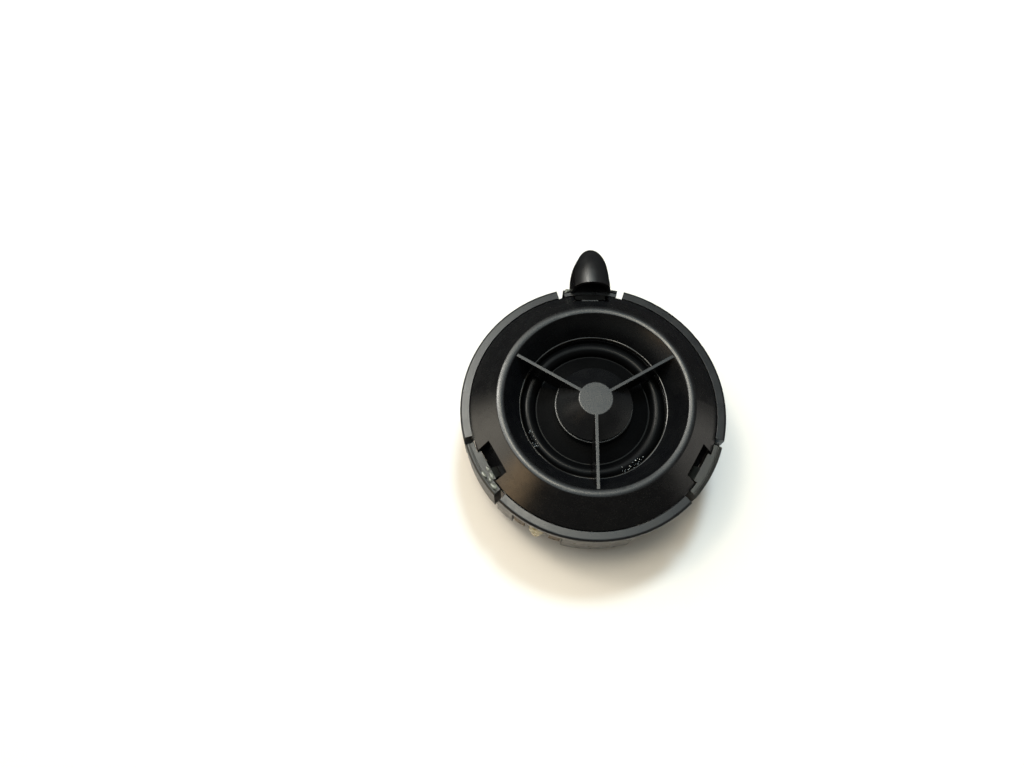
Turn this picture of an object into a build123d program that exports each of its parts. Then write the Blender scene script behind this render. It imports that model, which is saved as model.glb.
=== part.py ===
from build123d import *
import os
from math import cos, radians, sin

# Dome tweeter for a car door or mirror panel. Millimetres, +Z out of the front.
# The origin is the centre of the rear face. The locating hood points to +Y.

# ---- driving dimensions ----
rim_top = 14.8          # height of the housing rim above the rear face
rim_r = 23.0            # outside of the rim and skirt
bore_r = 21.4           # inside of the rim and skirt
skirt_low = 5.5         # lower edge of the skirt
rim_band = 1.6          # height of the unbroken band above the cut-outs
rim_round = 0.5         # rounding of the rim's outer edge
rim_fall = 0.08         # drop from the rim's inner edge to its outer rounding
rim_edge = rim_top - rim_fall

floor_low = 5.0         # housing floor
floor_high = 6.5
floor_r = 21.9
motor_bore_r = 12.05    # hole in the floor for the magnet pot
tower_in_r = 13.6       # inner wall that carries the diaphragm frame
tower_out_r = 15.4
tower_top = 11.5
ledge_r = 19.9          # ledge that the front cover stands on
ledge_low = 11.4
ledge_top = 12.8

cover_r = 21.25         # foot of the front cover
cover_in_r = 19.8
land_out_r = 16.66      # flat ring at the front
land_in_r = 15.37
land_z = 20.1
throat_r = 12.75
throat_z = 15.6
throat_low = 15.1
hollow_peak = (16.07, 18.92)    # underside of the land
land_crown = 0.13       # how far the ring's edges lie below its middle
land_round = 0.25
foot_round = 0.2

hub_face_r = 2.87       # phase plug
hub_skirt_r = 6.48
hub_foot_r = 6.75
hub_face_z = 19.8
hub_skirt_z = 16.7
hub_low = 15.6
hub_wall = 1.0
hub_round = 0.3
hub_lip = 0.32          # height of the flange at the plug's foot
fin_angles = (30, 150, 270)
fin_top_w = 0.52
fin_low_w = 0.95

latch_angles = {"right": 330, "top": 90, "left": 210}
slit_mid = 13.5         # slits either side of a latch finger, degrees
slit_half = 1.05
finger_r = 22.9
finger_round = 0.5
groove_r = 22.05        # groove in each latch finger's top
groove_w = 0.2
groove_depth = 0.35
window_in_r = {"right": 19.1, "top": 18.85, "left": 18.85}      # notches in the cover
window_half = 3.05
shelf_low = 12.8
shelf_high = 13.65      # where the nose's tip bears on the sloping shelf
shelf_rise = 0.9
shelf_out_r = 20.4
pad_in_r = 20.65
pad_low = 12.95
nose_in_r = 19.55
nose_low = 13.7

terminal_mid = -115.3   # terminal bay in the skirt
terminal_half = 11.7
lug_angles = {"left": -123.4, "right": -107.0}
cable_mid = -59.4       # cable notch in the skirt
cable_half = 14.6

cap_r = 17.0            # rear cap
cap_wall = 1.4
cap_ear_r = 2.0
cap_flange_low = 3.8
cap_foot_round = 0.4
cap_grooves = ((9.0, 9.6), (13.2, 13.8))
cap_groove_depth = 0.3
stake_angles = (30, 150, 270)
stake_ring_r = 19.35
stake_pin_r = 0.85
stake_hole_r = 0.95
stake_head_r = 1.5
stake_head_high = 0.8

yoke_r = 12.0           # magnet pot
yoke_in_r = 10.15
yoke_low = 4.4
yoke_floor = 6.4
magnet_r = 8.6
magnet_top = 9.4
pole_r = 9.0
pole_top = 11.2
felt_r = 6.5
felt_high = 1.0
foam_r = 10.5

frame_in_r = 10.6       # frame under the surround
frame_top = 13.05
clamp_in_r = 12.75
clamp_out_r = 14.6
clamp_top = 13.9
gasket_in_r = 12.95
gasket_out_r = 13.8
cloth = 0.15            # thickness of surround and dome
surround_out_r = 14.4
roll_out_r = 12.6
roll_in_r = 9.9
roll_high = 14.55
dome_r = 9.7
dome_high = 15.2
former_in_r = 9.3
former_out_r = 9.42
former_low = 9.2
coil_r = 9.82
coil_top = 11.2

os.makedirs("parts", exist_ok=True)


def section_plane(angle):
    """Upright plane through the axis: local X is the radius, local Y is the height."""
    turn = radians(angle)
    return Plane(origin=(0, 0, 0), x_dir=(cos(turn), sin(turn), 0), z_dir=(sin(turn), -cos(turn), 0))


def side_plane(angle, radius):
    """Upright plane square to the radius: local X runs round the part, local Y is the height."""
    turn = radians(angle)
    centre = (radius * cos(turn), radius * sin(turn), 0)
    return Plane(origin=centre, x_dir=(-sin(turn), cos(turn), 0), z_dir=(cos(turn), sin(turn), 0))


def flat_plane(angle, height):
    """Level plane whose local X points along a radius."""
    turn = radians(angle)
    return Plane(origin=(0, 0, height), x_dir=(cos(turn), sin(turn), 0), z_dir=(0, 0, 1))


def ring(inner, outer, low, high, mode=Mode.ADD):
    """Plain ring about the axis, or a disc where inner is 0."""
    with BuildSketch(Plane.XY.offset(low)) as flat:
        Circle(outer)
        if inner > 0:
            Circle(inner, mode=Mode.SUBTRACT)
    extrude(flat.sketch, amount=high - low, mode=mode)


def sector(inner, outer, low, high, middle, half, mode=Mode.SUBTRACT):
    """Piece of a ring between two angles."""
    with BuildSketch(Plane.XY.offset(low)) as flat:
        with BuildLine():
            near = CenterArc((0, 0), inner, middle - half, 2 * half)
            far = CenterArc((0, 0), outer, middle - half, 2 * half)
            Line(near @ 0, far @ 0)
            Line(near @ 1, far @ 1)
        make_face()
    extrude(flat.sketch, amount=high - low, mode=mode)


def block(angle, inner, outer, half_width, low, high, shift=0.0, mode=Mode.ADD):
    """Straight-sided block that lies along a radius."""
    with BuildSketch(flat_plane(angle, low)) as flat:
        with Locations(((inner + outer) / 2, shift)):
            Rectangle(outer - inner, 2 * half_width)
    extrude(flat.sketch, amount=high - low, mode=mode)


def wedge(angle, outline, half_width, shift=0.0):
    """Upright outline on a plane through the axis, given a width round the part."""
    with BuildSketch(section_plane(angle).offset(-shift)) as upright:
        with BuildLine():
            Polyline(*outline, close=True)
        make_face()
    extrude(upright.sketch, amount=half_width, both=True)


def save(builder, name):
    builder.part.label = name
    export_step(builder.part, "parts/" + name + ".step")


# ---- front cover: cone, flat land, funnel, three fins and a phase plug in one moulding ----
with BuildPart() as front_cover:
    with BuildSketch(Plane.XZ):
        with BuildLine():
            Polyline(
                (cover_in_r, ledge_top),
                (cover_r, ledge_top),
                (cover_r, rim_top),
                (land_out_r, land_z - land_crown),
            )
            ThreePointArc(
                (land_out_r, land_z - land_crown),
                ((land_out_r + land_in_r) / 2, land_z),
                (land_in_r, land_z - land_crown),
            )
            Polyline(
                (land_in_r, land_z - land_crown),
                (throat_r, throat_z),
                (throat_r, throat_low),
                (throat_r + 1.1, throat_low),
                hollow_peak,
                (cover_in_r, 14.37),
                (cover_in_r, ledge_top),
            )
        make_face()
        fillet(vertices().group_by(Axis.Y)[-1], land_round)
        fillet(vertices().group_by(Axis.X)[-1].sort_by(Axis.Y)[-1], foot_round)
    revolve(axis=Axis.Z)
    with BuildSketch(Plane.XZ):
        with BuildLine():
            Polyline(
                (0, hub_face_z),
                (hub_face_r, hub_face_z),
                (hub_skirt_r, hub_skirt_z),
                (hub_skirt_r + 0.03, hub_low + hub_lip),
                (hub_foot_r, hub_low + hub_lip),
                (hub_foot_r, hub_low),
                (hub_foot_r - 0.9, hub_low),
                (hub_skirt_r - hub_wall, hub_skirt_z - 0.2),
                (hub_face_r - 0.4, hub_face_z - 0.9),
                (0, hub_face_z - 0.9),
                close=True,
            )
        make_face()
        fillet(vertices().group_by(Axis.Y)[-1].sort_by(Axis.X)[-1], hub_round)
        fillet(vertices().group_by(Axis.X)[-1].sort_by(Axis.Y)[-1], hub_lip / 2)
    revolve(axis=Axis.Z)
    for angle in fin_angles:
        with BuildSketch(flat_plane(angle, hub_low)):
            with Locations(((hub_foot_r - 0.6 + throat_r + 0.45) / 2, 0)):
                Rectangle(throat_r - hub_foot_r + 1.05, fin_low_w)
        with BuildSketch(flat_plane(angle, hub_face_z)):
            with Locations(((hub_face_r - 0.6 + land_in_r - 0.05) / 2, 0)):
                Rectangle(land_in_r - hub_face_r + 0.55, fin_top_w)
        loft()
    for side, angle in latch_angles.items():
        notch_r = window_in_r[side]
        block(angle, notch_r, cover_r + 1, window_half, ledge_top - 1, land_z + 1, mode=Mode.SUBTRACT)
        shelf = [
            (notch_r - 0.3, shelf_low),
            (shelf_out_r, shelf_low),
            (shelf_out_r, shelf_low + 0.05),
            (nose_in_r, shelf_high),
            (notch_r - 0.3, shelf_high + shelf_rise),
        ]
        wedge(angle, shelf, window_half + 0.5)
save(front_cover, "front_cover")

# ---- housing: rim and skirt, floor, inner tower, ledge and heat stakes ----
with BuildPart() as housing:
    with BuildSketch(Plane.XZ):
        with BuildLine():
            Polyline(
                (bore_r, floor_high),
                (bore_r, rim_top),
                (rim_r - rim_round, rim_edge),
            )
            RadiusArc((rim_r - rim_round, rim_edge), (rim_r, rim_edge - rim_round), rim_round)
            Polyline(
                (rim_r, rim_edge - rim_round),
                (rim_r, skirt_low),
                (floor_r, skirt_low),
                (floor_r, floor_low),
                (motor_bore_r, floor_low),
                (motor_bore_r, floor_high),
                (tower_in_r, floor_high),
                (tower_in_r, tower_top),
                (tower_out_r, tower_top),
                (tower_out_r, floor_high),
                (bore_r, floor_high),
            )
        make_face()
    revolve(axis=Axis.Z)
    ring(ledge_r, bore_r + 0.1, ledge_low, ledge_top)
    for angle in latch_angles.values():
        reach = slit_mid + slit_half
        sector(bore_r - 0.3, rim_r + 1, skirt_low - 1, rim_top + 1, angle, reach)
        sector(ledge_r - 0.5, rim_r + 1, ledge_low - 0.5, rim_top + 1, angle, reach + 1)
        for side in (-1, 1):
            sector(19.6, bore_r, floor_low - 1, floor_high + 0.1, angle + side * 14.5, 7.5)
    sector(bore_r - 0.02, rim_r + 1, skirt_low - 0.2, rim_top - rim_band, terminal_mid, terminal_half)
    sector(bore_r - 0.02, rim_r + 1, skirt_low - 0.2, rim_top - rim_band, cable_mid, cable_half)
    with BuildSketch(Plane.XY.offset(floor_low)) as stake_pins:
        for angle in stake_angles:
            with Locations(flat_plane(angle, 0).from_local_coords(Vector(stake_ring_r, 0))):
                Circle(stake_pin_r)
    extrude(stake_pins.sketch, amount=cap_flange_low - floor_low)
    with BuildSketch(Plane.XY.offset(cap_flange_low)) as stake_heads:
        for angle in stake_angles:
            with Locations(flat_plane(angle, 0).from_local_coords(Vector(stake_ring_r, 0))):
                Circle(stake_head_r)
    extrude(stake_heads.sketch, amount=-stake_head_high, taper=25)
save(housing, "housing")


# ---- latch fingers: slit-bounded strips of the skirt with a nose that holds the cover ----
def finger(side, pad_z, nose_half, nose_shift):
    """Strip of the skirt between two slits, with a grooved top, a pad, and a nose with a lead-in ramp."""
    angle = latch_angles[side]
    half = slit_mid - slit_half
    pad_out_r = bore_r + 0.3
    with BuildSketch(section_plane(angle - half)) as strip:
        with BuildLine():
            Polyline(
                (bore_r, skirt_low),
                (bore_r, rim_top),
                (groove_r, rim_top),
                (groove_r, rim_top - groove_depth),
                (groove_r + groove_w, rim_top - groove_depth),
                (groove_r + groove_w, rim_top),
                (finger_r - finger_round, rim_edge),
            )
            RadiusArc((finger_r - finger_round, rim_edge), (finger_r, rim_edge - finger_round), finger_round)
            Polyline((finger_r, rim_edge - finger_round), (finger_r, skirt_low), (bore_r, skirt_low))
        make_face()
    revolve(strip.sketch, axis=Axis.Z, revolution_arc=2 * half)
    pad = [(pad_out_r, pad_low), (pad_in_r, pad_low), (pad_in_r, pad_z), (pad_out_r, rim_top)]
    wedge(angle, pad, window_half - 0.35)
    root_r = pad_in_r + 0.1
    nose = [(root_r, nose_low), (nose_in_r, nose_low), (nose_in_r, nose_low + 0.1), (root_r, pad_z)]
    wedge(angle, nose, nose_half, nose_shift)


with BuildPart() as latch_finger_right:
    finger("right", rim_top, 1.2, -1.35)
save(latch_finger_right, "latch_finger_right")

with BuildPart() as latch_finger_left:
    finger("left", rim_top, 0.9, 1.6)
save(latch_finger_left, "latch_finger_left")


def hood_outline(y, base, width, crease_w, crease_z, crown, squeeze, focus=rim_top + 0.8):
    """Arch-shaped section of the hood, drawn smaller about a low centre as it nears the tip."""
    with BuildSketch(Plane(origin=(0, y, 0), x_dir=(-1, 0, 0), z_dir=(0, 1, 0))) as section:
        low = focus + (base - focus) * squeeze
        mid = focus + (crease_z - focus) * squeeze
        high = focus + (crown - focus) * squeeze
        with BuildLine():
            Line((width * squeeze, low), (crease_w * squeeze, mid))
            ThreePointArc((crease_w * squeeze, mid), (0, high), (-crease_w * squeeze, mid))
            Line((-crease_w * squeeze, mid), (-width * squeeze, low))
            Line((-width * squeeze, low), (width * squeeze, low))
        make_face()
    return section.sketch


hood_straight_y = 22.6
hood_tip_y = 29.7
hood_steps = (21.6, 22.6, 24.6, 26.6, 28.1, 29.1)


def hood_squeeze(y, tip):
    """Quarter-ellipse taper from the straight stretch to the tip."""
    along = max(0.0, (y - hood_straight_y) / (tip - hood_straight_y))
    return (1 - along * along) ** 0.5


outer_sections = [
    hood_outline(y, rim_top - 0.6, 3.75, 3.05, rim_top + 2.9, rim_top + 4.8, hood_squeeze(y, hood_tip_y))
    for y in hood_steps
]
inner_sections = [
    hood_outline(y, rim_top + 0.25, 3.05, 2.45, rim_top + 2.6, rim_top + 4.1, hood_squeeze(y, 28.7))
    for y in (21.4, 22.6, 24.6, 26.4, 27.7)
]

with BuildPart() as latch_finger_top:
    finger("top", 14.1, 1.5, 0)
    loft([*outer_sections, Vertex(0, hood_tip_y, rim_top + 0.8)])
    loft(inner_sections, mode=Mode.SUBTRACT)
save(latch_finger_top, "latch_finger_top")

# ---- rear cap: closes the magnet chamber, held by the housing's three heat stakes ----
with BuildPart() as rear_cap:
    ring(0, cap_r, 0, floor_low)
    ring(0, cap_r + 0.8, cap_flange_low, floor_low)
    for angle in stake_angles:
        block(angle, cap_r - 1, stake_ring_r, cap_ear_r, cap_flange_low, floor_low)
        ear_mid = (cap_flange_low + floor_low) / 2
        with Locations(flat_plane(angle, 0).from_local_coords(Vector(stake_ring_r, 0, ear_mid))):
            Cylinder(cap_ear_r, floor_low - cap_flange_low)
    ring(0, cap_r - cap_wall, cap_wall, floor_low + 1, mode=Mode.SUBTRACT)
    with BuildSketch(Plane.XY.offset(cap_flange_low)):
        for angle in stake_angles:
            with Locations(flat_plane(angle, 0).from_local_coords(Vector(stake_ring_r, 0))):
                Circle(stake_hole_r)
    extrude(amount=3, mode=Mode.SUBTRACT)
    for groove_in_r, groove_out_r in cap_grooves:
        ring(groove_in_r, groove_out_r, -0.1, cap_groove_depth, mode=Mode.SUBTRACT)
    foot_edges = rear_cap.edges().filter_by(GeomType.CIRCLE).group_by(Axis.Z)[0].sort_by(SortBy.RADIUS)[-1]
    fillet(foot_edges, cap_foot_round)
save(rear_cap, "rear_cap")

# ---- diaphragm frame: ring that carries the surround, with two grooves for the lead wires ----
lead_angles = {"left": lug_angles["left"], "right": -97.5}
with BuildPart() as diaphragm_frame:
    ring(frame_in_r, tower_out_r, tower_top, frame_top)
    for angle in lead_angles.values():
        groove_top = tower_top + 0.9
        block(angle, frame_in_r - 1, tower_out_r + 1, 0.5, tower_top - 1, groove_top, mode=Mode.SUBTRACT)
save(diaphragm_frame, "diaphragm_frame")

# ---- clamp ring: presses the surround's edge on to the frame ----
with BuildPart() as clamp_ring:
    ring(clamp_in_r, clamp_out_r, frame_top + cloth, clamp_top)
save(clamp_ring, "clamp_ring")

# ---- throat gasket: foam ring under the funnel's lip ----
with BuildPart() as throat_gasket:
    ring(gasket_in_r, gasket_out_r, clamp_top, throat_low)
save(throat_gasket, "throat_gasket")

# ---- surround: half-roll of coated cloth with a flat edge each side ----
with BuildPart() as surround:
    roll_mid = (roll_in_r + roll_out_r) / 2
    with BuildSketch(Plane.XZ):
        with BuildLine():
            Line((surround_out_r, frame_top), (surround_out_r, frame_top + cloth))
            Line((surround_out_r, frame_top + cloth), (roll_out_r, frame_top + cloth))
            ThreePointArc(
                (roll_out_r, frame_top + cloth), (roll_mid, roll_high), (roll_in_r, frame_top + cloth)
            )
            Line((roll_in_r, frame_top + cloth), (former_in_r, frame_top + cloth))
            Line((former_in_r, frame_top + cloth), (former_in_r, frame_top))
            Line((former_in_r, frame_top), (roll_in_r + cloth, frame_top))
            ThreePointArc(
                (roll_in_r + cloth, frame_top),
                (roll_mid, roll_high - cloth),
                (roll_out_r - cloth, frame_top),
            )
            Line((roll_out_r - cloth, frame_top), (surround_out_r, frame_top))
        make_face()
    revolve(axis=Axis.Z)
save(surround, "surround")

# ---- dome: shallow cap of the same cloth, bonded on the surround's inner edge ----
with BuildPart() as dome:
    dome_low = frame_top + cloth
    rise = dome_high - dome_low
    ball_r = (dome_r**2 + rise**2) / (2 * rise)
    with Locations((0, 0, dome_high - ball_r)):
        Sphere(ball_r)
        Sphere(ball_r - cloth, mode=Mode.SUBTRACT)
    with Locations((0, 0, dome_low + ball_r)):
        Box(3 * ball_r, 3 * ball_r, 2 * ball_r, mode=Mode.INTERSECT)
save(dome, "dome")

# ---- voice coil: film former with a copper winding at its lower end ----
with BuildPart() as coil_former:
    ring(former_in_r, former_out_r, former_low, frame_top)
save(coil_former, "coil_former")

with BuildPart() as voice_coil:
    ring(former_out_r, coil_r, former_low, coil_top)
save(voice_coil, "voice_coil")

# ---- motor: pot, magnet, top plate, and the felt under the dome ----
with BuildPart() as yoke:
    ring(0, yoke_r, yoke_low, tower_top)
    ring(0, yoke_in_r, yoke_floor, tower_top + 1, mode=Mode.SUBTRACT)
save(yoke, "yoke")

with BuildPart() as magnet:
    ring(0, magnet_r, yoke_floor, magnet_top)
save(magnet, "magnet")

with BuildPart() as top_plate:
    ring(0, pole_r, magnet_top, pole_top)
    chamfer(top_plate.edges().group_by(Axis.Z)[-1], 0.2)
save(top_plate, "top_plate")

with BuildPart() as dome_felt:
    ring(0, felt_r, pole_top, pole_top + felt_high)
save(dome_felt, "dome_felt")

with BuildPart() as rear_foam_pad:
    ring(0, foam_r, cap_wall, yoke_low)
save(rear_foam_pad, "rear_foam_pad")

# ---- terminal block: plastic insert behind the bay, with two slots for the lugs ----
block_in_r = 17.5
block_out_r = 21.38
lug_half = 1.0
lug_out_r = 22.9
lug_thick = 0.4
arm_low = 9.9
arm_high = arm_low + lug_thick
with BuildPart() as terminal_block:
    block_half = terminal_half - 0.6
    sector(block_in_r, block_out_r, floor_high, ledge_low - 0.1, terminal_mid, block_half, mode=Mode.ADD)
    for angle in lug_angles.values():
        block(angle, 17, 22, lug_half, arm_low, arm_high, mode=Mode.SUBTRACT)
save(terminal_block, "terminal_block")

# ---- terminal lugs: brass strips whose outer blades hang behind the rim band ----
for side, angle in lug_angles.items():
    with BuildPart() as lug:
        block(angle, 16.1, lug_out_r - 0.1, lug_half, arm_low, arm_high)
        block(angle, lug_out_r - lug_thick, lug_out_r, lug_half, 8.6, rim_top - rim_band - 0.1)
        with BuildSketch(side_plane(angle, 22)):
            with Locations((0, 9.2)):
                Circle(0.3)
        extrude(amount=2, mode=Mode.SUBTRACT)
    save(lug, "terminal_" + side)

# ---- glue bead: drop of hot-melt glue on the block between the lugs ----
bead_ring_r = 21.95
bead_ball_r = 1.75
bead_low = 8.4
bead_high = 11.35
bead_x = bead_ring_r * cos(radians(terminal_mid))
bead_y = bead_ring_r * sin(radians(terminal_mid))
with BuildPart() as glue_bead:
    with Locations((bead_x, bead_y, bead_low), (bead_x, bead_y, bead_high)):
        Sphere(bead_ball_r)
    with Locations((bead_x, bead_y, (bead_low + bead_high) / 2)):
        Cylinder(bead_ball_r, bead_high - bead_low)
    ring(0, block_out_r, 0, land_z, mode=Mode.SUBTRACT)
save(glue_bead, "glue_bead")

# ---- lead wires: from the coil former, through the frame's grooves ----
lead_r = 0.2
lead_ends = {"left": (16.7, 10.6), "right": (19.65, 10.05)}
for side, angle in lead_angles.items():
    with BuildPart() as lead:
        with BuildLine(section_plane(angle)) as route:
            FilletPolyline((9.65, 12.45), (11.4, 11.95), (15.8, 11.95), lead_ends[side], radius=0.6)
        with BuildSketch(Plane(origin=route.line @ 0, z_dir=route.line % 0)):
            Circle(lead_r)
        sweep()
    save(lead, "lead_wire_" + side)

# ---- crossover capacitor: small can lying beside the tower, and its two leads ----
can_angle = -84.0
can_ring_r = 18.4
can_z = 9.0
can_r = 2.25
can_half = 3.4
can_plane = section_plane(can_angle)
with BuildPart() as capacitor:
    with BuildSketch(can_plane):
        with Locations((can_ring_r, can_z)):
            Circle(can_r)
    extrude(amount=can_half, both=True)
    fillet(capacitor.edges().filter_by(GeomType.CIRCLE), 0.3)
save(capacitor, "capacitor")

lug_lead = ((17.4, 9.65, can_half), (15.75, 10.1, 5.4))
coil_lead = ((19.2, 9.65, can_half), (19.2, 9.65, 4.6))
with BuildPart() as capacitor_leads:
    for near_end, far_end in (lug_lead, coil_lead):
        with BuildLine() as wire:
            Line(can_plane.from_local_coords(Vector(near_end)), can_plane.from_local_coords(Vector(far_end)))
        with BuildSketch(Plane(origin=wire.line @ 0, z_dir=wire.line % 0)):
            Circle(0.25)
        sweep()
save(capacitor_leads, "capacitor_leads")

# ---- solder joints: lead to left lug, capacitor to right lug, capacitor to the other lead ----
left_lug_inner = section_plane(lug_angles["left"]).from_local_coords(Vector(16.7, arm_high, 0))
with BuildPart() as solder_joints:
    with Locations(
        left_lug_inner,
        can_plane.from_local_coords(Vector(lug_lead[1])),
        can_plane.from_local_coords(Vector(coil_lead[1])),
    ):
        Sphere(0.5)
save(solder_joints, "solder_joints")
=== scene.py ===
import math

import bpy
import numpy as np
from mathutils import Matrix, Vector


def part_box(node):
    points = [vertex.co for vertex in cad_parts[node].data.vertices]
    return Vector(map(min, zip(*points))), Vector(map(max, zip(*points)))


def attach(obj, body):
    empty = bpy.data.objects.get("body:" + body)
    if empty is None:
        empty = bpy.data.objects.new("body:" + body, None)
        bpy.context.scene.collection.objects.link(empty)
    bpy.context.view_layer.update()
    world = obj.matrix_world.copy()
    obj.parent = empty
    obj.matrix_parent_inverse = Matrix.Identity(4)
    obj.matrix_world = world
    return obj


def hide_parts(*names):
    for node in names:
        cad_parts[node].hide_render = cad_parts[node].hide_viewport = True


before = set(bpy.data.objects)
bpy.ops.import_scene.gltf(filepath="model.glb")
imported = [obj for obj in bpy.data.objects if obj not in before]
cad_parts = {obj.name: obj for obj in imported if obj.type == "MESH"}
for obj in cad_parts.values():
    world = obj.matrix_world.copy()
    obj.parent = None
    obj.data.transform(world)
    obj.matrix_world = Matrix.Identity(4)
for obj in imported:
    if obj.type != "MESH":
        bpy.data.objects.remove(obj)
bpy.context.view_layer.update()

# ---- housing ----
# The rim, the skirt and the floor are one injection moulding in black ABS. The steel tool was polished and
# then worn by use, so the plastic has a satin skin: faint mottling, a very fine grain, and dull handling
# marks where the gloss has been rubbed away. Three stakes under the floor were melted over the rear cap.


def linear(code):
    """sRGB hex to linear light: the low end is a straight line, the rest a power of 2.4."""
    parts = [int(code[i : i + 2], 16) / 255 for i in (1, 3, 5)]
    return [c / 12.92 if c <= 0.04045 else ((c + 0.055) / 1.055) ** 2.4 for c in parts] + [1.0]


def add(tree, kind, inputs=None, **settings):
    """Adds a node: settings are its own properties, and inputs gives each socket a value or a link."""
    made = tree.nodes.new("ShaderNode" + kind)
    for name, value in settings.items():
        setattr(made, name, value)
    for socket, value in (inputs or {}).items():
        if isinstance(value, bpy.types.NodeSocket):
            tree.links.new(value, made.inputs[socket])
        else:
            made.inputs[socket].default_value = value
    return made


def start_material(name, **constants):
    """A material with a Principled shader, and the constants set straight on the shader's sockets."""
    material = bpy.data.materials.new(name)
    material.use_nodes = True
    shader = material.node_tree.nodes["Principled BSDF"]
    for socket, value in constants.items():
        shader.inputs[socket.replace("_", " ")].default_value = value
    return material, material.node_tree, shader


def mottled(name, dark, light, rough, patch_mm, grain_mm, grain_depth_mm, edge_mm=0.0, **constants):
    """Cloudy noise mixes two colours, noise half as large mixes two roughnesses, and the finest is the bump."""
    material, tree, shader = start_material(name, **constants)
    place = add(tree, "TexCoord").outputs["Object"]
    clouds = add(tree, "TexNoise", {"Vector": place, "Scale": 1000 / patch_mm, "Detail": 4.0})
    share = add(tree, "MapRange", {"Value": clouds.outputs["Fac"], "From Min": 0.32, "From Max": 0.68})
    colour = add(tree, "Mix", {0: share.outputs["Result"], 6: linear(dark), 7: linear(light)}, data_type="RGBA")
    finer = {"Scale": 2000 / patch_mm, "Detail": 5.0, "Roughness": 0.65}
    rubbed = add(tree, "TexNoise", {"Vector": place, **finer})
    limits = {"From Min": 0.35, "From Max": 0.7, "To Min": rough[0], "To Max": rough[1]}
    gloss = add(tree, "MapRange", {"Value": rubbed.outputs["Fac"], **limits})
    grain = add(tree, "TexNoise", {"Vector": place, "Scale": 1000 / grain_mm, "Detail": 2.0})
    depth = {"Height": grain.outputs["Fac"], "Strength": 0.35, "Distance": grain_depth_mm / 1000}
    if edge_mm > 0:
        depth["Normal"] = add(tree, "Bevel", {"Radius": edge_mm / 1000}, samples=6).outputs["Normal"]
    bump = add(tree, "Bump", depth)
    tree.links.new(colour.outputs[2], shader.inputs["Base Color"])
    tree.links.new(gloss.outputs["Result"], shader.inputs["Roughness"])
    tree.links.new(bump.outputs["Normal"], shader.inputs["Normal"])
    return material


def paint(material, *nodes):
    """Gives CAD nodes their material."""
    for node in nodes:
        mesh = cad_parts[node].data
        mesh.materials.clear()
        mesh.materials.append(material)


# Black ABS, satin moulded: a dark body under a soft, slightly uneven sheen, with light catching its edges.
abs_sheen = {"IOR": 1.53, "Specular_IOR_Level": 0.4}
satin_abs = mottled("satin moulded ABS", "#09090a", "#101010", (0.26, 0.40), 4.5, 0.25, 0.01, 0.10, **abs_sheen)
paint(satin_abs, "housing")

# ---- motor ----
# The pot and the top plate are pressed steel with bright zinc plating, and the neodymium disc between them is
# nickel plated. A felt disc on top damps the air under the dome. The pot sits in the floor's hole.

# Bright zinc plate: pale blue-grey metal whose crystals show as faint clouds in the shine.
zinc = mottled("bright zinc plate", "#a9adb0", "#c9cdd0", (0.28, 0.42), 1.5, 0.2, 0.004, Metallic=1.0)
paint(zinc, "yoke", "top_plate")
# Nickel plate over a sintered disc: warmer and smoother, with a trace of orange peel.
nickel = mottled("bright nickel plate", "#a8a295", "#c4beb0", (0.16, 0.28), 2.2, 0.5, 0.004, Metallic=1.0)
paint(nickel, "magnet")
# Pressed wool felt: dull grey fibres that scatter light at the rim of every curve.
felt = mottled("pressed wool felt", "#4a4947", "#6b6966", (0.90, 1.0), 0.9, 0.08, 0.09, Sheen_Weight=0.4)
paint(felt, "dome_felt")

# ---- rear cap ----
# A shallow cup of the same plastic from a spark-eroded tool closes the chamber behind the motor, so its skin is
# duller and grainier. Its three ears are held by the housing's melted stakes, and a foam pad fills its floor.
eroded_abs = mottled("spark-eroded ABS", "#0e0e0e", "#171717", (0.45, 0.58), 4.0, 0.35, 0.03, 0.12, **abs_sheen)
paint(eroded_abs, "rear_cap")


# Open-cell foam: charcoal, with a pit in every cell and painted shade in each pit, so it reads as soft and
# drinks the light.
def foam(name, code, cell_mm, pit_mm):
    """Rounded cells: the distance to the nearest seed point is the height, and it also paints shade into the
    cell's middle, its pit.
    """
    material, tree, shader = start_material(name, Roughness=0.95, Specular_IOR_Level=0.2)
    place = add(tree, "TexCoord").outputs["Object"]
    cells = add(tree, "TexVoronoi", {"Vector": place, "Scale": 1000 / cell_mm})
    # The near-black colour at each cell's middle is painted shade in the pit, not the foam's own colour.
    pale, painted_pit_shade = linear(code), linear("#050505")
    colour = add(tree, "Mix", {0: cells.outputs["Distance"], 6: painted_pit_shade, 7: pale}, data_type="RGBA")
    bump = add(tree, "Bump", {"Height": cells.outputs["Distance"], "Strength": 0.8, "Distance": pit_mm / 1000})
    tree.links.new(colour.outputs[2], shader.inputs["Base Color"])
    tree.links.new(bump.outputs["Normal"], shader.inputs["Normal"])
    return material


paint(foam("open-cell foam", "#4b4b4d", 0.6, 0.15), "rear_foam_pad")
paint(foam("fine-cell foam gasket", "#2a2a2b", 0.25, 0.05), "throat_gasket")

# ---- diaphragm ----
# The frame and the clamp ring are black ABS rings on the housing's tower. Between them the surround is cloth,
# pressed into a half-roll and doped with a tacky black coat. The dome is the same cloth with a thinner coat.
paint(satin_abs, "diaphragm_frame", "clamp_ring")


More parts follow.
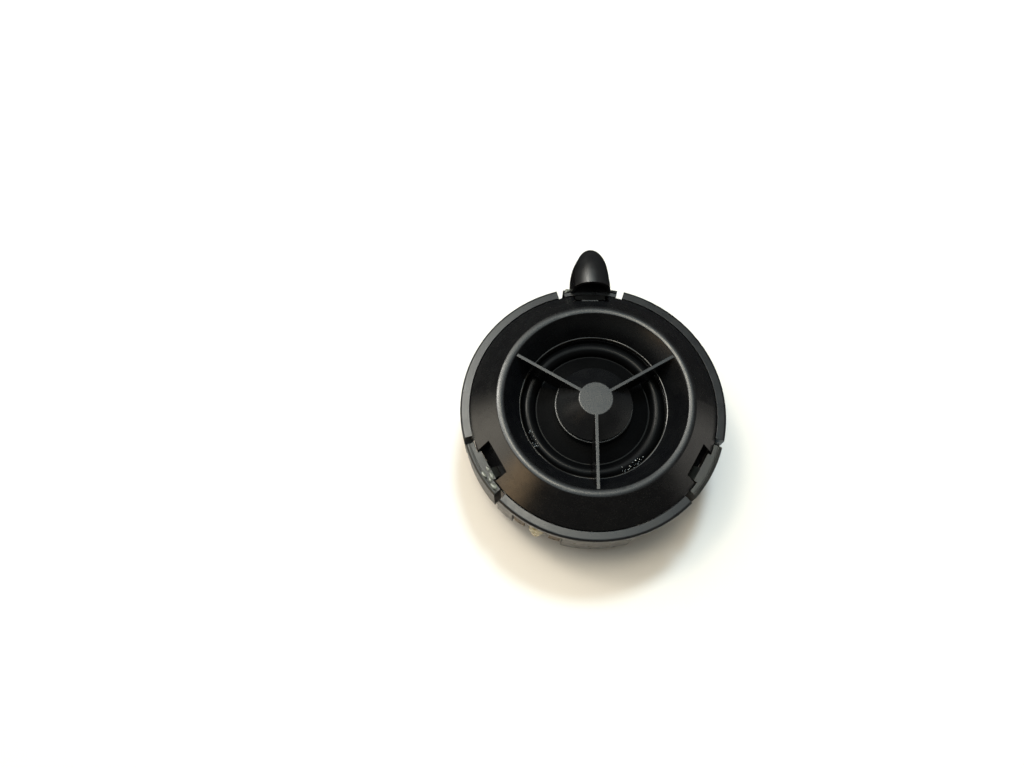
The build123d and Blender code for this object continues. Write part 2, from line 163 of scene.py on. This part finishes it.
def woven(name, dark, light, rough, thread_mm, thread_depth_mm, patch_mm, **constants):
    """Two sets of sine bands along X and Y, the higher of the two on top, are the threads under the coat."""
    material, tree, shader = start_material(name, **constants)
    place = add(tree, "TexCoord").outputs["Object"]
    repeat = math.pi / (10 * thread_mm / 1000)
    warp = add(tree, "TexWave", {"Vector": place, "Scale": repeat}, bands_direction="X")
    weft = add(tree, "TexWave", {"Vector": place, "Scale": repeat}, bands_direction="Y")
    top = add(tree, "Math", {0: warp.outputs["Fac"], 1: weft.outputs["Fac"]}, operation="MAXIMUM")
    coat = add(tree, "TexNoise", {"Vector": place, "Scale": 1000 / patch_mm, "Detail": 4.0})
    colour = add(tree, "Mix", {0: coat.outputs["Fac"], 6: linear(dark), 7: linear(light)}, data_type="RGBA")
    limits = {"From Min": 0.35, "From Max": 0.7, "To Min": rough[0], "To Max": rough[1]}
    gloss = add(tree, "MapRange", {"Value": coat.outputs["Fac"], **limits})
    depth = {"Height": top.outputs["Value"], "Strength": 0.3, "Distance": thread_depth_mm / 1000}
    bump = add(tree, "Bump", depth)
    tree.links.new(colour.outputs[2], shader.inputs["Base Color"])
    tree.links.new(gloss.outputs["Result"], shader.inputs["Roughness"])
    tree.links.new(bump.outputs["Normal"], shader.inputs["Normal"])
    return material


# Doped cloth: the coat fills the weave, so the roll shines in long soft streaks.
tacky = {"IOR": 1.5, "Specular_IOR_Level": 0.07}
doped = woven("doped woven cloth", "#030303", "#070707", (0.16, 0.28), 0.25, 0.004, 2.5, **tacky)
paint(doped, "surround")
# Thinly coated cloth: nearly matt, with the threads just showing.
matt = {"IOR": 1.45, "Specular_IOR_Level": 0.03}
thin_coat = woven("thinly coated woven cloth", "#030303", "#060606", (0.50, 0.65), 0.25, 0.02, 3.0, **matt)
paint(thin_coat, "dome")

# ---- voice coil ----
# Copper wire is wound round the lower end of an amber polyimide tube, which is bonded inside the dome's edge.
# Two tinsel leads run from it through the frame's grooves to the crossover.

# Polyimide film, cast: clear amber, smooth, with slight waves where it was rolled.
film = mottled("cast polyimide film", "#8a4a12", "#a85f1a", (0.18, 0.30), 2.5, 0.6, 0.006, IOR=1.7)
film.node_tree.nodes["Principled BSDF"].inputs["Transmission Weight"].default_value = 0.35
paint(film, "coil_former")


def wound_copper(name, dark, light, wire_mm, direction):
    """Sine bands along one axis are the turns, and the dark colour in the grooves between them is painted
    shade.
    """
    material, tree, shader = start_material(name, Metallic=1.0, Roughness=0.32)
    place = add(tree, "TexCoord").outputs["Object"]
    repeat = math.pi / (10 * wire_mm / 1000)
    turns = add(tree, "TexWave", {"Vector": place, "Scale": repeat}, bands_direction=direction)
    # Painted shade: the colour goes dark in the grooves between turns, where the bump dips.
    colour = add(tree, "Mix", {0: turns.outputs["Fac"], 6: linear(dark), 7: linear(light)}, data_type="RGBA")
    bump = add(tree, "Bump", {"Height": turns.outputs["Fac"], "Strength": 0.8, "Distance": wire_mm / 2000})
    tree.links.new(colour.outputs[2], shader.inputs["Base Color"])
    tree.links.new(bump.outputs["Normal"], shader.inputs["Normal"])
    return material


# Enamelled copper: red-gold turns with a varnish gleam, and painted shade between them.
paint(wound_copper("enamelled copper winding", "#5a2412", "#c8713f", 0.12, "Z"), "voice_coil")
# The braid's dark grooves between strands are painted shade as well.
braid = wound_copper("tinsel copper braid", "#6b3018", "#cf7f4c", 0.18, "DIAGONAL")
paint(braid, "lead_wire_left", "lead_wire_right")

# ---- terminals and crossover ----
# Two brass lugs slide into slots in an ABS block behind the bay in the skirt. A small capacitor in a vinyl
# sleeve lies beside the tower, and its leads and the coil's leads are soldered to the lugs.
paint(eroded_abs, "terminal_block")
# Tarnished brass, stamped: brown oxide over the yellow metal, duller in blotches.
brass = mottled("tarnished stamped brass", "#33271a", "#5e4a2b", (0.42, 0.62), 1.2, 0.15, 0.01, Metallic=1.0)
paint(brass, "terminal_left", "terminal_right")
# Solder, cooled from liquid: bright grey with a slightly frosted skin.
solder = mottled("cooled solder", "#8d9093", "#c2c5c8", (0.25, 0.42), 0.6, 0.12, 0.012, Metallic=1.0)
paint(solder, "solder_joints", "capacitor_leads")
# Shrunk vinyl: dark blue, glossy, drawn tight over the can's rolled edge.
vinyl = mottled("shrunk vinyl sleeve", "#14202e", "#1d2d40", (0.22, 0.34), 3.0, 0.4, 0.008, IOR=1.54)
paint(vinyl, "capacitor")

# ---- glue ----
# A thick drop of hot-melt glue, laid by hand between the lugs, holds the terminal block in the bay. It sagged
# and cooled with a lumpy, waxy skin. Stray drops of it lie on the left latch and at the end of the top one.

# Hot-melt glue, cooled in air: cloudy amber, waxy shine, light soaks in and comes out at thin places.
hot_melt = mottled("cooled hot-melt glue", "#8c7f55", "#b5a67a", (0.14, 0.32), 1.6, 0.5, 0.03, IOR=1.48)
glue_shader = hot_melt.node_tree.nodes["Principled BSDF"]
glue_shader.inputs["Transmission Weight"].default_value = 0.25
glue_shader.inputs["Subsurface Weight"].default_value = 0.35
glue_shader.inputs["Subsurface Radius"].default_value = (0.0012, 0.0009, 0.0005)
glue_shader.inputs["Subsurface Scale"].default_value = 1.0


def grid_faces(rows, turns, start=0):
    """Faces of a grid of rows from pole to pole, closed round each row."""
    row, turn = np.meshgrid(np.arange(rows - 1), np.arange(turns), indexing="ij")
    after = (turn + 1) % turns
    corners = (row * turns + turn, (row + 1) * turns + turn, (row + 1) * turns + after, row * turns + after)
    return start + np.stack(corners, -1).reshape(-1, 4)


def add_piece(name, points, faces, material, body):
    """A smooth mesh object at the origin, with its place in its vertices, that rides on a body."""
    mesh = bpy.data.meshes.new(name)
    mesh.from_pydata(points.tolist(), [], faces)
    mesh.polygons.foreach_set("use_smooth", np.ones(len(mesh.polygons), bool))
    mesh.materials.append(material)
    mesh.update()
    piece = bpy.data.objects.new(name, mesh)
    bpy.context.scene.collection.objects.link(piece)
    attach(piece, body)
    return piece


def close_poles(points, faces, rows, turns, count=1):
    """Adds a point at the middle of each blob's first and last row, and the triangles that close it."""
    blobs = points.reshape(count, rows, turns, 3)
    tops = blobs[:, 0].mean(1)
    lows = blobs[:, -1].mean(1)
    turn = np.arange(turns)
    after = (turn + 1) % turns
    first = np.arange(count)[:, None] * rows * turns
    top_id = (count * rows * turns + np.arange(count))[:, None]
    top_faces = np.stack(np.broadcast_arrays(top_id, first + turn, first + after), -1)
    last = first + (rows - 1) * turns
    low_faces = np.stack(np.broadcast_arrays(top_id + count, last + after, last + turn), -1)
    caps = np.concatenate([top_faces.reshape(-1, 3), low_faces.reshape(-1, 3)])
    return np.concatenate([points, tops, lows]), faces.tolist() + caps.tolist()


bead_low, bead_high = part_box("glue_bead")
bead_r = 0.00175
bead_turn = math.radians(-115.3)
bead_ring_r = 0.02195
bead_back_r = 0.02138
rows, turns = 40, 64
pole_gap = 0.04
fall = np.linspace(pole_gap, np.pi - pole_gap, rows)[:, None]
around = np.linspace(0, 2 * np.pi, turns, endpoint=False)[None, :]
# Lumps: the capsule's radius, less two crossed sets of waves that only ever take away. A bluntness under 1
# keeps the ends full.
broad_share, small_share, bluntness = 0.07, 0.035, 0.62
broad_lumps = broad_share * (1 + np.sin(3 * around + 1.3) * np.sin(2.4 * fall + 0.4))
small_lumps = small_share * (1 + np.sin(5 * around + 4 * fall))
bead_wide = bead_r * np.sin(fall) ** bluntness * (1 - broad_lumps - small_lumps)
bead_x = bead_ring_r * math.cos(bead_turn) + bead_wide * np.cos(around)
bead_y = bead_ring_r * math.sin(bead_turn) + bead_wide * np.sin(around)
bead_mid = (bead_high.z + bead_low.z) / 2
bead_z = bead_mid + (bead_high.z - bead_low.z) / 2 * np.cos(fall) * (1 - 0.02 * (1 + np.sin(2 * around)))
# Its back is pressed against the block, so no point is nearer to the axis than the block's face.
back = np.maximum(1, bead_back_r / np.hypot(bead_x, bead_y))
bead_points = np.stack(np.broadcast_arrays(bead_x * back, bead_y * back, bead_z), -1).reshape(-1, 3)
bead_points, bead_faces = close_poles(bead_points, grid_faces(rows, turns), rows, turns)
bead = add_piece("glue_bead_cooled", bead_points, bead_faces, hot_melt, "housing")
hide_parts("glue_bead")


# The same glue drawn out thin: grey-green haze over the black plastic, with a wet shine.
glue_film = mottled("drawn-out hot-melt glue", "#2b2a23", "#5f5d50", (0.16, 0.36), 0.7, 0.2, 0.03, IOR=1.48)


def drops(name, places, sit_z, body):
    """Flattened balls with a wavy outline, longer round the part than across it, all in one mesh. Each row of
    places is a radius in millimetres, an angle in degrees and a size in millimetres."""
    spot_r, spot_turn, size = (np.array(column)[:, None, None] for column in zip(*places))
    spot_r, size, spot_turn = spot_r / 1000, size / 1000, np.radians(spot_turn)
    rows, turns = 10, 20
    pole_gap, stretch, sink, flatness = 0.12, 1.7, 0.05, 0.3
    fall = np.linspace(pole_gap, np.pi - pole_gap, rows)[None, :, None]
    around = np.linspace(0, 2 * np.pi, turns, endpoint=False)[None, None, :]
    wave = 1 + 0.14 * np.sin(2 * around + 40 * spot_turn) + 0.07 * np.sin(3 * around + 90 * spot_turn)
    spread = size * wave * np.sin(fall)
    out, along = spread * np.cos(around), stretch * spread * np.sin(around)
    x = (spot_r + out) * np.cos(spot_turn) - along * np.sin(spot_turn)
    y = (spot_r + out) * np.sin(spot_turn) + along * np.cos(spot_turn)
    z = sit_z + size * (sink + flatness * np.cos(fall))
    points = np.stack(np.broadcast_arrays(x, y, z), -1).reshape(-1, 3)
    faces = np.concatenate([grid_faces(rows, turns, k * rows * turns) for k in range(len(places))])
    points, faces = close_poles(points, faces, rows, turns, len(places))
    return add_piece(name, points, faces, glue_film, body)


# The drops lie where glue is seen on the real fingers: five by the left window, three by the hood.
latch_top_z = 0.0148
left_drops = (
    (21.02, 211.6, 0.30),
    (21.16, 215.2, 0.38),
    (22.15, 212.9, 0.34),
    (21.95, 219.6, 0.40),
    (21.75, 216.2, 0.30),
)
drops("glue_drops_left", left_drops, latch_top_z, "latch_left")
top_drops = ((22.55, 100.9, 0.26), (22.30, 101.6, 0.17), (22.62, 99.7, 0.13))
drops("glue_drops_top", top_drops, latch_top_z, "latch_top")

# ---- cement and dust ----
# Clear contact cement squeezed out round the throat's lower edge, where the gasket is bonded on, and set as a
# thin glossy line. Crumbs of dried cement and dust have gathered low on the outside of the surround's roll.

# Set contact cement: brown-black over the plastic, smooth as glass.
cement = mottled("set contact cement", "#141210", "#1f1b16", (0.05, 0.10), 2.0, 0.8, 0.01, IOR=1.52)
line_r, line_z, line_thick = 0.01272, 0.01528, 0.00020
turns, sides = 240, 12
along = np.linspace(0, 2 * np.pi, turns, endpoint=False)[:, None]
across_line = np.linspace(0, 2 * np.pi, sides, endpoint=False)[None, :]
# A ring of changing thickness: two slow waves round the throat make it swell and thin.
thick = line_thick * (1 + 0.16 * np.sin(7 * along + 0.5) + 0.12 * np.sin(11 * along + 2))
wide = line_r + thick * np.cos(across_line)
ring_points = np.stack(
    np.broadcast_arrays(wide * np.cos(along), wide * np.sin(along), line_z + thick * np.sin(across_line)), -1
).reshape(-1, 3)
step, side = np.meshgrid(np.arange(turns), np.arange(sides), indexing="ij")
next_step, next_side = (step + 1) % turns, (side + 1) % sides
here, there = step * sides, next_step * sides
ring_faces = np.stack((here + side, there + side, there + next_side, here + next_side), -1).reshape(-1, 4)
add_piece("cement_line", ring_points, ring_faces.tolist(), cement, "housing")

# Dried crumbs: pale, chalky, with an odd bright face.
crumb = mottled("dried cement crumbs", "#a9a69d", "#e0ddd4", (0.25, 0.55), 0.4, 0.1, 0.01)
rng = np.random.default_rng(11)
count = 54
# About a third lie in the left sector and the rest in the right one: angles in degrees, then metres.
left_share, left_sector, right_sector = 0.36, (200, 219), (292, 316)
crumb_band, crumb_sizes = (0.0114, 0.01262), (0.00003, 0.00009)
near_left = rng.random(count) < left_share
crumb_turn = np.where(near_left, rng.uniform(*left_sector, count), rng.uniform(*right_sector, count))
crumb_turn = np.radians(crumb_turn)
crumb_r = rng.uniform(*crumb_band, count)
crumb_size = rng.uniform(*crumb_sizes, count)
# The roll is a half circle of 1.35 mm about r 11.25 mm, and a crumb lies on it.
roll_r, roll_ring_r, roll_z = 0.00135, 0.01125, 0.0132
crumb_z = roll_z + np.sqrt(np.maximum(0, roll_r**2 - (crumb_r - roll_ring_r) ** 2)) + 0.4 * crumb_size
corner = np.array([(1, 0, 0), (0, 1, 0), (-1, 0, 0), (0, -1, 0), (0, 0, 1), (0, 0, -1)], float)
shape = corner[None] * rng.uniform(0.6, 1.4, (count, 6, 1)) * crumb_size[:, None, None]
centre = np.stack([crumb_r * np.cos(crumb_turn), crumb_r * np.sin(crumb_turn), crumb_z], -1)
eight = [(0, 1, 4), (1, 2, 4), (2, 3, 4), (3, 0, 4), (1, 0, 5), (2, 1, 5), (3, 2, 5), (0, 3, 5)]
crumb_faces = (np.array(eight)[None] + 6 * np.arange(count)[:, None, None]).reshape(-1, 3)
crumb_points = (centre[:, None] + shape).reshape(-1, 3)
add_piece("cement_crumbs", crumb_points, crumb_faces.tolist(), crumb, "housing")

# ---- front cover ----
# The cone, the flat ring, the funnel, the fins and the phase plug are one moulding in black ABS, from a tool
# whose round faces were turned on a lathe: the gloss is a little higher than the housing's. It snaps in.
cover_abs = mottled(
    "satin moulded ABS, turned tool", "#070708", "#0c0c0c", (0.23, 0.32), 4.0, 0.2, 0.006, 0.08, **abs_sheen
)
paint(cover_abs, "front_cover")

# ---- latch fingers ----
# Three strips of the skirt, cut free by slits, bend outwards to let the front cover snap in. They come out of
# the same tool as the rim, and handling has left a grey haze of dust and glue film on them.
hazy_abs = mottled("handled ABS", "#10100e", "#1c1c17", (0.34, 0.52), 2.2, 0.3, 0.02, 0.10, **abs_sheen)
paint(hazy_abs, "latch_finger_left", "latch_finger_right")
paint(satin_abs, "latch_finger_top")

# ---- floor, light and camera ----
# A table in a dim room. A window on the upper left, a pale ceiling with a lamp in it, two walls and a warm lamp
# low on the left are round glows painted into the surroundings, so that the black plastic has something to
# reflect. A soft lamp high at the back throws the shadow towards the viewer.


def flat_piece(name, outline, z):
    """A flat stage piece in the table's finish."""
    mesh = bpy.data.meshes.new(name)
    mesh.from_pydata([(x, y, z) for x, y in outline], [], [tuple(range(len(outline)))])
    mesh.materials.append(laminate)
    made = bpy.data.objects.new(name, mesh)
    bpy.context.scene.collection.objects.link(made)
    return made


# Laminate, pressed smooth: beige, because the lamp over it is sky blue. Where the lamp reaches it looks white,
# and in the shadow, lit by the room alone, it looks warm.
laminate, _, shader = start_material("white laminate", Roughness=0.6, Specular_IOR_Level=0.2)
shader.inputs["Base Color"].default_value = linear("#c4bbb0")
table_half = 1.5
corners = [(x * table_half, y * table_half) for x, y in ((-1, -1), (1, -1), (1, 1), (-1, 1))]
table = flat_piece("table", corners, 0)
table.visible_glossy = False
# The table's far parts don't show in the gloss, as if dark cards stood round it. This round piece of it does.
near_r, near_x, near_y, near_z = 0.036, 0.003, -0.014, 0.00002
angles = np.linspace(0, 2 * np.pi, 96, endpoint=False)
near_outline = list(zip(near_x + near_r * np.cos(angles), near_y + near_r * np.sin(angles)))
table_near = flat_piece("table_near", near_outline, near_z)
for ray in ("camera", "diffuse", "transmission", "shadow"):
    setattr(table_near, "visible_" + ray, False)

world = bpy.data.worlds.new("room")
bpy.context.scene.world = world
world.use_nodes = True
tree = world.node_tree
heading = add(tree, "TexCoord").outputs["Generated"]
total = None
# Each panel is a round glow: name, azimuth, elevation, full out to, gone at (degrees), radiance, colour.
panels = (
    ("ceiling", 128, 80, 2, 37, 2.6, "#e9fbff"),
    ("window", 146, 54, 9, 32, 4.6, "#fffcf2"),
    ("bright pane", 141, 58, 3, 7, 34, "#fffaf0"),
    ("ceiling lamp", 120, 80, 3, 9, 20, "#fff4dc"),
    ("warm lamp", 217, 2, 4, 15, 3.6, "#ffd9a8"),
    ("left wall", 188, -8, 8, 30, 2.4, "#fff6e4"),
    ("right wall", 352, -16, 6, 28, 0.75, "#fffaf0"),
    ("room", 90, 90, 10, 180, 0.18, "#f6efe4"),
)
for name, azimuth, elevation, inner, outer, radiance, code in panels:
    turn = math.radians(azimuth)
    lift = math.radians(elevation)
    aim = (math.cos(lift) * math.cos(turn), math.cos(lift) * math.sin(turn), math.sin(lift))
    facing = add(tree, "VectorMath", {0: heading, 1: aim}, operation="DOT_PRODUCT").outputs["Value"]
    near, far = math.cos(math.radians(inner)), math.cos(math.radians(outer))
    glow = {"Value": facing, "From Min": far, "From Max": near, "To Min": 0.0, "To Max": radiance}
    share = add(tree, "MapRange", glow, interpolation_type="SMOOTHSTEP")
    tint = add(tree, "VectorMath", {0: linear(code)[:3], "Scale": share.outputs["Result"]}, operation="SCALE")
    if total is None:
        total = tint.outputs[0]
    else:
        total = add(tree, "VectorMath", {0: total, 1: tint.outputs[0]}, operation="ADD").outputs[0]
tree.links.new(total, tree.nodes["Background"].inputs["Color"])

# The soft lamp's own reflection is hidden, because the glows above already stand for what the plastic mirrors.
key_data = bpy.data.lights.new("soft lamp", "AREA")
key_data.shape = "DISK"
key_data.size = 0.10
key_data.energy = 3.6
key_data.color = linear("#c0e3ff")[:3]
key = bpy.data.objects.new("soft lamp", key_data)
bpy.context.scene.collection.objects.link(key)
key_away, key_turn, key_lift = 0.6, math.radians(82), math.radians(61)
key.location = (
    key_away * math.cos(key_lift) * math.cos(key_turn),
    key_away * math.cos(key_lift) * math.sin(key_turn),
    key_away * math.sin(key_lift),
)
key.rotation_euler = (0, math.pi / 2 - key_lift, key_turn)
key.visible_glossy = False

camera_data = bpy.data.cameras.new("camera")
camera_data.sensor_width = 36
camera_data.lens = 27.04
camera_data.clip_start = 0.005
camera = bpy.data.objects.new("camera", camera_data)
bpy.context.scene.collection.objects.link(camera)
# The camera stands close over the part, a little to the left of it and towards the viewer, and tips forward.
camera_turn, camera_tilt = math.radians(0.6), math.radians(18.91)
across, behind, height = -0.01402, -0.03925, 0.14168
camera.location = (
    across * math.cos(camera_turn) - behind * math.sin(camera_turn),
    across * math.sin(camera_turn) + behind * math.cos(camera_turn),
    height,
)
camera.rotation_euler = (camera_tilt, 0, camera_turn)
bpy.context.scene.camera = camera
bpy.context.scene.view_settings.view_transform = "Standard"
